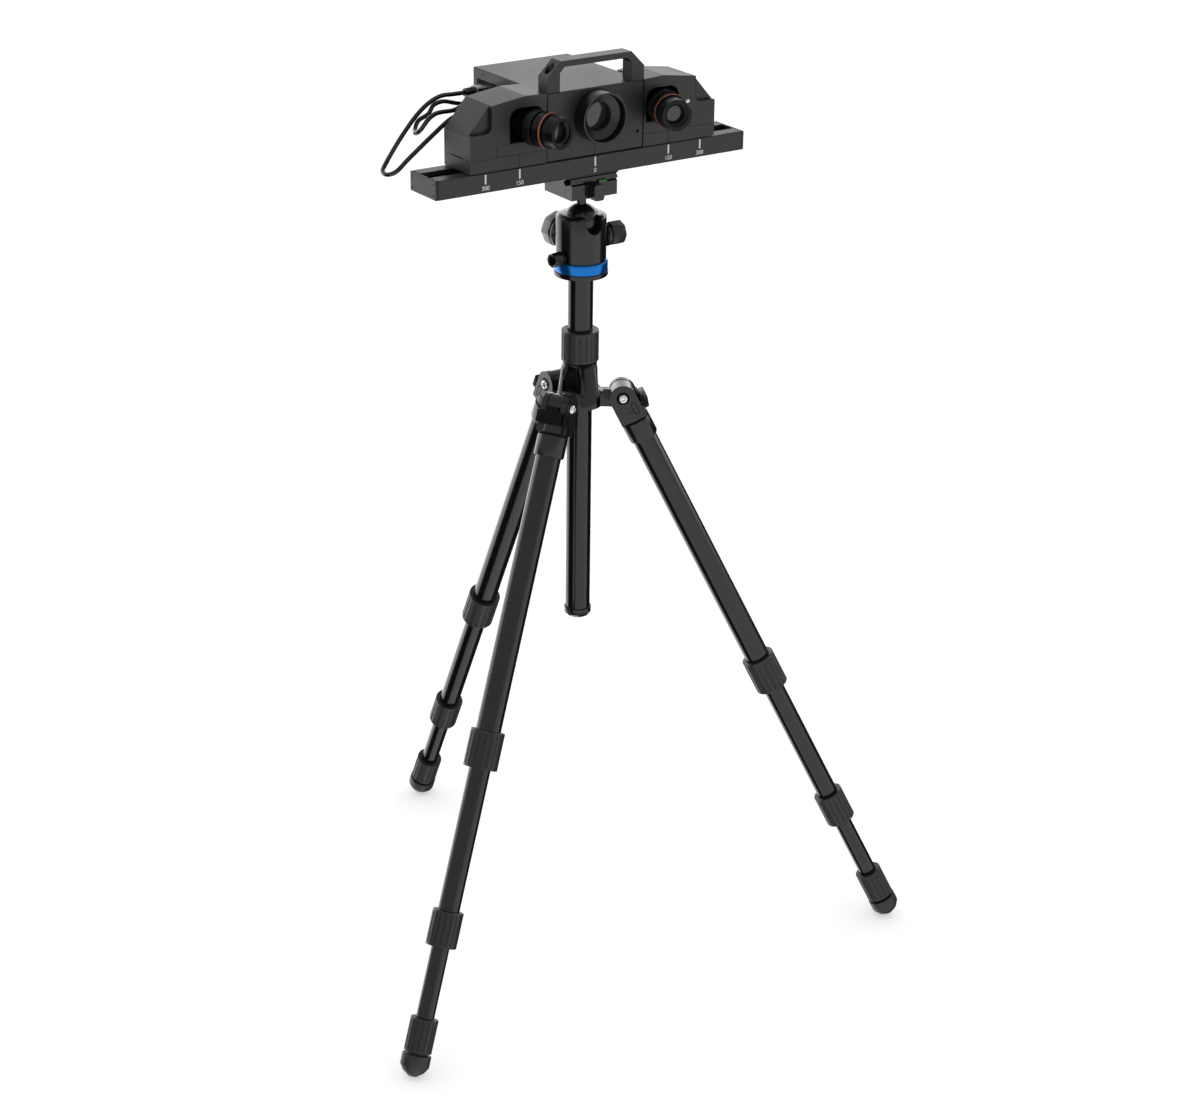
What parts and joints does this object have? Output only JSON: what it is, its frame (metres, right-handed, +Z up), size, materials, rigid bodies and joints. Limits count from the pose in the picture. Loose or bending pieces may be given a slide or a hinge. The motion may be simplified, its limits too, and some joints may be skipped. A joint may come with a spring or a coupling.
{
  "type": "tripod 3d scanner",
  "caption": "Structured light 3D scanner: projector box with carrying handle between sliding camera modules on a scale rail, on a ball head and folding telescopic tripod.",
  "frame": {"origin": "middle of the object's box at the floor, leads left out", "axes": "+X along the scale rail to the viewer's right, -Y the way the lenses look, +Z up"},
  "size_m": [0.69, 0.6106, 1.066],
  "materials": {
    "black_anodised": "satin black anodised",
    "blue_anodised": "bright blue anodised",
    "bright_steel": "bright",
    "coated_glass": "coated, dark",
    "grained_case": "fine grained dark coating",
    "grip_rubber": "matt black",
    "lead_jacket": "smooth black",
    "level_green": "clear green",
    "satin_stand": "smooth satin black"
  },
  "bodies": {
    "stand": {"spider": "satin_stand", "hinge_bolt_a": "bright_steel", "hinge_bolt_b": "bright_steel", "hinge_bolt_c": "bright_steel"},
    "leg_a": {"leg_head_a": "satin_stand", "upper_tube_a": "satin_stand"},
    "stop_a": {"angle_stop_a": "satin_stand"},
    "upper_lock_a": {"upper_lock_a": "grip_rubber"},
    "mid_a": {"mid_tube_a": "satin_stand"},
    "lower_lock_a": {"lower_lock_a": "grip_rubber"},
    "lower_a": {"lower_tube_a": "satin_stand"},
    "foot_a": {"foot_a": "grip_rubber"},
    "leg_b": {"leg_head_b": "satin_stand", "upper_tube_b": "satin_stand"},
    "stop_b": {"angle_stop_b": "satin_stand"},
    "upper_lock_b": {"upper_lock_b": "grip_rubber"},
    "mid_b": {"mid_tube_b": "satin_stand"},
    "lower_lock_b": {"lower_lock_b": "grip_rubber"},
    "lower_b": {"lower_tube_b": "satin_stand"},
    "foot_b": {"foot_b": "grip_rubber"},
    "leg_c": {"leg_head_c": "satin_stand", "upper_tube_c": "satin_stand"},
    "stop_c": {"angle_stop_c": "satin_stand"},
    "upper_lock_c": {"upper_lock_c": "grip_rubber"},
    "mid_c": {"mid_tube_c": "satin_stand"},
    "lower_lock_c": {"lower_lock_c": "grip_rubber"},
    "lower_c": {"lower_tube_c": "satin_stand"},
    "foot_c": {"foot_c": "grip_rubber"},
    "column": {"centre_column": "satin_stand", "column_cap": "satin_stand", "pan_ring": "blue_anodised"},
    "column_collar": {"column_collar": "grip_rubber"},
    "head": {"ball_housing": "satin_stand"},
    "main_knob": {"main_knob": "grip_rubber"},
    "friction_knob": {"friction_knob": "grip_rubber"},
    "pan_knob": {"pan_knob": "grip_rubber"},
    "clamp": {"ball": "satin_stand", "clamp_body": "satin_stand"},
    "clamp_jaw": {"clamp_jaw": "satin_stand", "level_vial": "level_green"},
    "clamp_knob": {"clamp_knob": "grip_rubber"},
    "scanner": {"quick_release_plate": "satin_stand", "rail": "black_anodised", "rail_end_left": "black_anodised", "rail_end_right": "black_anodised", "projector_case": "grained_case", "projector_hood": "grip_rubber", "projector_glass": "coated_glass", "handle": "black_anodised", "plug_left": "bright_steel", "long_lead": "lead_jacket", "short_lead": "lead_jacket"},
    "camera_left": {"camera_housing_left": "black_anodised", "lens_barrel_left": "grip_rubber", "lens_glass_left": "coated_glass"},
    "focus_left": {"focus_ring_left": "grip_rubber"},
    "camera_right": {"camera_housing_right": "black_anodised", "lens_barrel_right": "grip_rubber", "lens_glass_right": "coated_glass"},
    "focus_right": {"focus_ring_right": "grip_rubber"}
  },
  "joints": [
    {"name": "leg_a_fold", "type": "hinge", "parent": "stand", "child": "leg_a", "pos_m": [0.00618, -0.04234, 0.67839], "axis": [-0.9997, 0.0262, 0], "range_deg": [0, 25]},
    {"name": "stop_a_pull", "type": "slide", "parent": "leg_a", "child": "stop_a", "axis": [0.0234, 0.8941, 0.4473], "range_m": [0, 0.004]},
    {"name": "upper_lock_a_turn", "type": "hinge", "parent": "leg_a", "child": "upper_lock_a", "pos_m": [0.00618, -0.04234, 0.67839], "axis": [0.0117, 0.4471, -0.8944], "range_deg": [-90, 90]},
    {"name": "mid_a_slide", "type": "slide", "parent": "leg_a", "child": "mid_a", "axis": [0.0117, 0.4471, -0.8944], "range_m": [-0.155, 0.06]},
    {"name": "lower_lock_a_turn", "type": "hinge", "parent": "mid_a", "child": "lower_lock_a", "pos_m": [0.00618, -0.04234, 0.67839], "axis": [0.0117, 0.4471, -0.8944], "range_deg": [-90, 90]},
    {"name": "lower_a_slide", "type": "slide", "parent": "mid_a", "child": "lower_a", "axis": [0.0117, 0.4471, -0.8944], "range_m": [-0.078, 0.11]},
    {"name": "foot_a_turn", "type": "hinge", "parent": "lower_a", "child": "foot_a", "pos_m": [0.00618, -0.04234, 0.67839], "axis": [0.0117, 0.4471, -0.8944], "range_deg": [-180, 180]},
    {"name": "leg_b_fold", "type": "hinge", "parent": "stand", "child": "leg_b", "pos_m": [-0.03726, -0.11322, 0.67839], "axis": [0.4772, -0.8788, 0], "range_deg": [0, 25]},
    {"name": "stop_b_pull", "type": "slide", "parent": "leg_b", "child": "stop_b", "axis": [-0.786, -0.4268, 0.4473], "range_m": [0, 0.004]},
    {"name": "upper_lock_b_turn", "type": "hinge", "parent": "leg_b", "child": "upper_lock_b", "pos_m": [-0.03726, -0.11322, 0.67839], "axis": [-0.3931, -0.2134, -0.8944], "range_deg": [-90, 90]},
    {"name": "mid_b_slide", "type": "slide", "parent": "leg_b", "child": "mid_b", "axis": [-0.3931, -0.2134, -0.8944], "range_m": [-0.155, 0.06]},
    {"name": "lower_lock_b_turn", "type": "hinge", "parent": "mid_b", "child": "lower_lock_b", "pos_m": [-0.03726, -0.11322, 0.67839], "axis": [-0.3931, -0.2134, -0.8944], "range_deg": [-90, 90]},
    {"name": "lower_b_slide", "type": "slide", "parent": "mid_b", "child": "lower_b", "axis": [-0.3931, -0.2134, -0.8944], "range_m": [-0.078, 0.11]},
    {"name": "foot_b_turn", "type": "hinge", "parent": "lower_b", "child": "foot_b", "pos_m": [-0.03726, -0.11322, 0.67839], "axis": [-0.3931, -0.2134, -0.8944], "range_deg": [-180, 180]},
    {"name": "leg_c_fold", "type": "hinge", "parent": "stand", "child": "leg_c", "pos_m": [0.04585, -0.1154, 0.67839], "axis": [0.5225, 0.8526, 0], "range_deg": [0, 25]},
    {"name": "stop_c_pull", "type": "slide", "parent": "leg_c", "child": "stop_c", "axis": [0.7626, -0.4673, 0.4473], "range_m": [0, 0.004]},
    {"name": "upper_lock_c_turn", "type": "hinge", "parent": "leg_c", "child": "upper_lock_c", "pos_m": [0.04585, -0.1154, 0.67839], "axis": [0.3814, -0.2337, -0.8944], "range_deg": [-90, 90]},
    {"name": "mid_c_slide", "type": "slide", "parent": "leg_c", "child": "mid_c", "axis": [0.3814, -0.2337, -0.8944], "range_m": [-0.155, 0.06]},
    {"name": "lower_lock_c_turn", "type": "hinge", "parent": "mid_c", "child": "lower_lock_c", "pos_m": [0.04585, -0.1154, 0.67839], "axis": [0.3814, -0.2337, -0.8944], "range_deg": [-90, 90]},
    {"name": "lower_c_slide", "type": "slide", "parent": "mid_c", "child": "lower_c", "axis": [0.3814, -0.2337, -0.8944], "range_m": [-0.078, 0.11]},
    {"name": "foot_c_turn", "type": "hinge", "parent": "lower_c", "child": "foot_c", "pos_m": [0.04585, -0.1154, 0.67839], "axis": [0.3814, -0.2337, -0.8944], "range_deg": [-180, 180]},
    {"name": "column_slide", "type": "slide", "parent": "stand", "child": "column", "axis": [0, 0, 1], "range_m": [-0.055, 0.2]},
    {"name": "column_collar_turn", "type": "hinge", "parent": "stand", "child": "column_collar", "pos_m": [0.00492, -0.09032, 0.67839], "axis": [0, 0, 1], "range_deg": [-90, 90]},
    {"name": "head_pan", "type": "hinge", "parent": "column", "child": "head", "pos_m": [0.00492, -0.09032, 0.83719], "axis": [0, 0, 1], "continuous": true},
    {"name": "main_knob_turn", "type": "hinge", "parent": "head", "child": "main_knob", "pos_m": [0.00492, -0.06222, 0.85939], "axis": [0, 1, 0], "range_deg": [-180, 180]},
    {"name": "friction_knob_turn", "type": "hinge", "parent": "head", "child": "friction_knob", "pos_m": [0.03302, -0.09032, 0.85939], "axis": [1, 0, 0], "range_deg": [-180, 180]},
    {"name": "pan_knob_turn", "type": "hinge", "parent": "head", "child": "pan_knob", "pos_m": [-0.02256, -0.09616, 0.84369], "axis": [-0.9781, -0.2079, 0], "range_deg": [-180, 180]},
    {"name": "ball_tilt", "type": "hinge", "parent": "head", "child": "clamp", "pos_m": [0.00492, -0.09032, 0.88039], "axis": [1, 0, 0], "range_deg": [-35, 85]},
    {"name": "clamp_knob_turn", "type": "hinge", "parent": "clamp_jaw", "child": "clamp_knob", "pos_m": [0.00492, -0.11552, 0.91929], "axis": [0, -1, 0], "range_deg": [-90, 900]},
    {"name": "clamp_jaw_slide", "type": "slide", "parent": "clamp", "child": "clamp_jaw", "axis": [0, -1, 0], "range_m": [0, 0.003]},
    {"name": "plate_slide", "type": "slide", "parent": "clamp", "child": "scanner", "axis": [1, 0, 0], "range_m": [-0.01, 0.01]},
    {"name": "camera_left_slide", "type": "slide", "parent": "scanner", "child": "camera_left", "axis": [-1, 0, 0], "range_m": [0, 0.042]},
    {"name": "camera_right_slide", "type": "slide", "parent": "scanner", "child": "camera_right", "axis": [1, 0, 0], "range_m": [0, 0.042]},
    {"name": "focus_left_turn", "type": "hinge", "parent": "camera_left", "child": "focus_left", "pos_m": [-0.08103, -0.11632, 1.00249], "axis": [0.2656, -0.9641, 0], "range_deg": [-135, 135]},
    {"name": "focus_right_turn", "type": "hinge", "parent": "camera_right", "child": "focus_right", "pos_m": [0.09087, -0.11632, 1.00249], "axis": [-0.2656, -0.9641, 0], "range_deg": [-135, 135]}
  ],
  "couplings": [
    {"joint": "clamp_knob_turn", "follows": "clamp_jaw_slide", "rad_per_m": 4188.8}
  ]
}
